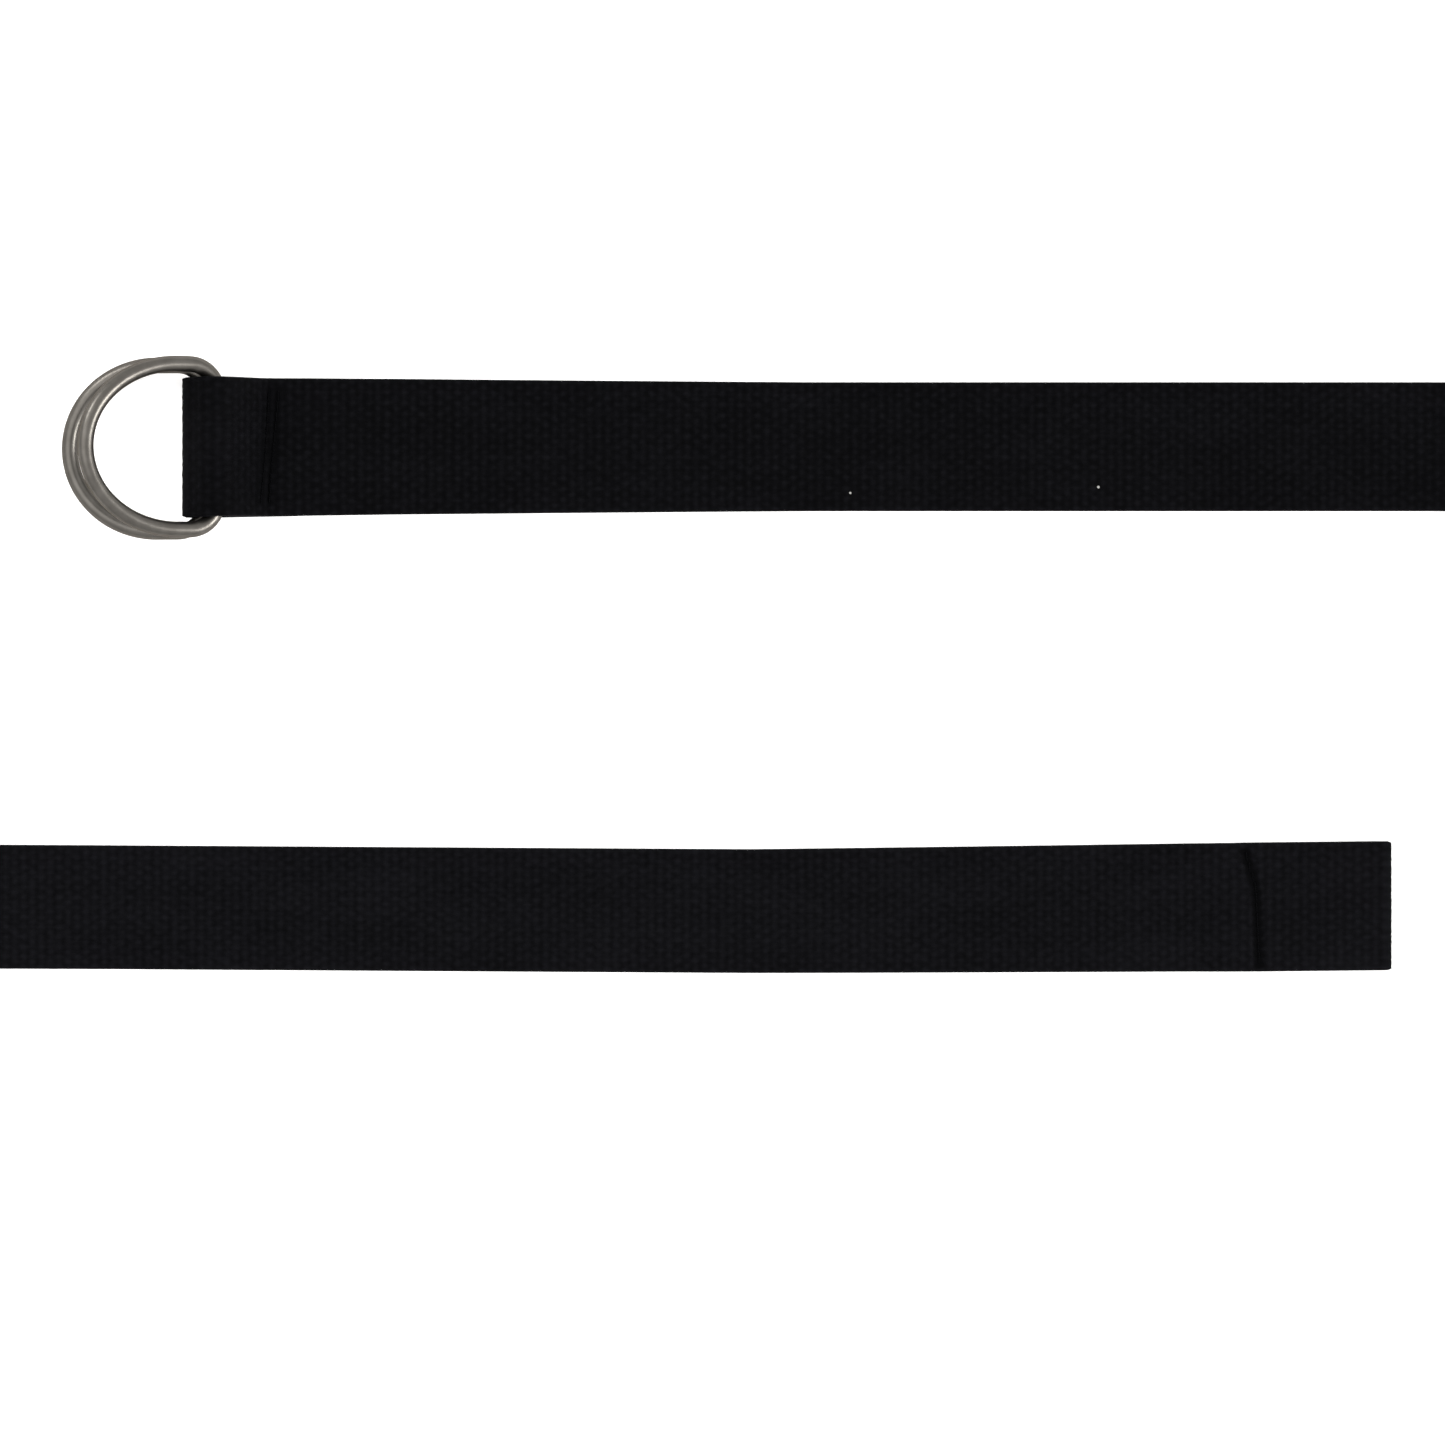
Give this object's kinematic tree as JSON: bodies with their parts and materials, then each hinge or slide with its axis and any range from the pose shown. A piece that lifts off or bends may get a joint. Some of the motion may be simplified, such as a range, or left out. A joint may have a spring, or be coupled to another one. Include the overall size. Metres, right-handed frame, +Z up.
{
  "type": "stretching strap",
  "caption": "Flat woven stretching strap with a sewn head loop that holds D-rings, and a hemmed tail, laid out on a table in runs with folded corners.",
  "frame": {"origin": "middle of the laid-out strap's footprint, on the table", "axes": "+Z up from the table, +X along the head run away from the rings, +Y from the tail run towards the head run"},
  "size_m": [0.518, 0.3682, 0.0304],
  "materials": {
    "webbing": "matt black woven webbing, ribbed weave",
    "ring_metal": "satin nickel plated steel wire",
    "thread": "black polyester sewing thread"
  },
  "bodies": {
    "strap": {"webbing": "webbing", "head_needle_thread": "thread", "head_bobbin_thread": "thread", "tail_needle_thread": "thread", "tail_bobbin_thread": "thread"},
    "lower_ring": {"ring_lower": "ring_metal"},
    "upper_ring": {"ring_upper": "ring_metal"}
  },
  "joints": [
    {"name": "lower_ring_swing", "type": "hinge", "parent": "strap", "child": "lower_ring", "pos_m": [-0.1516, 0.15735, 0.0073], "axis": [0, 1, 0], "range_deg": [-152, 0]},
    {"name": "upper_ring_swing", "type": "hinge", "parent": "strap", "child": "upper_ring", "pos_m": [-0.14825, 0.15735, 0.01145], "axis": [0, 1, 0], "range_deg": [-14, 160]}
  ]
}
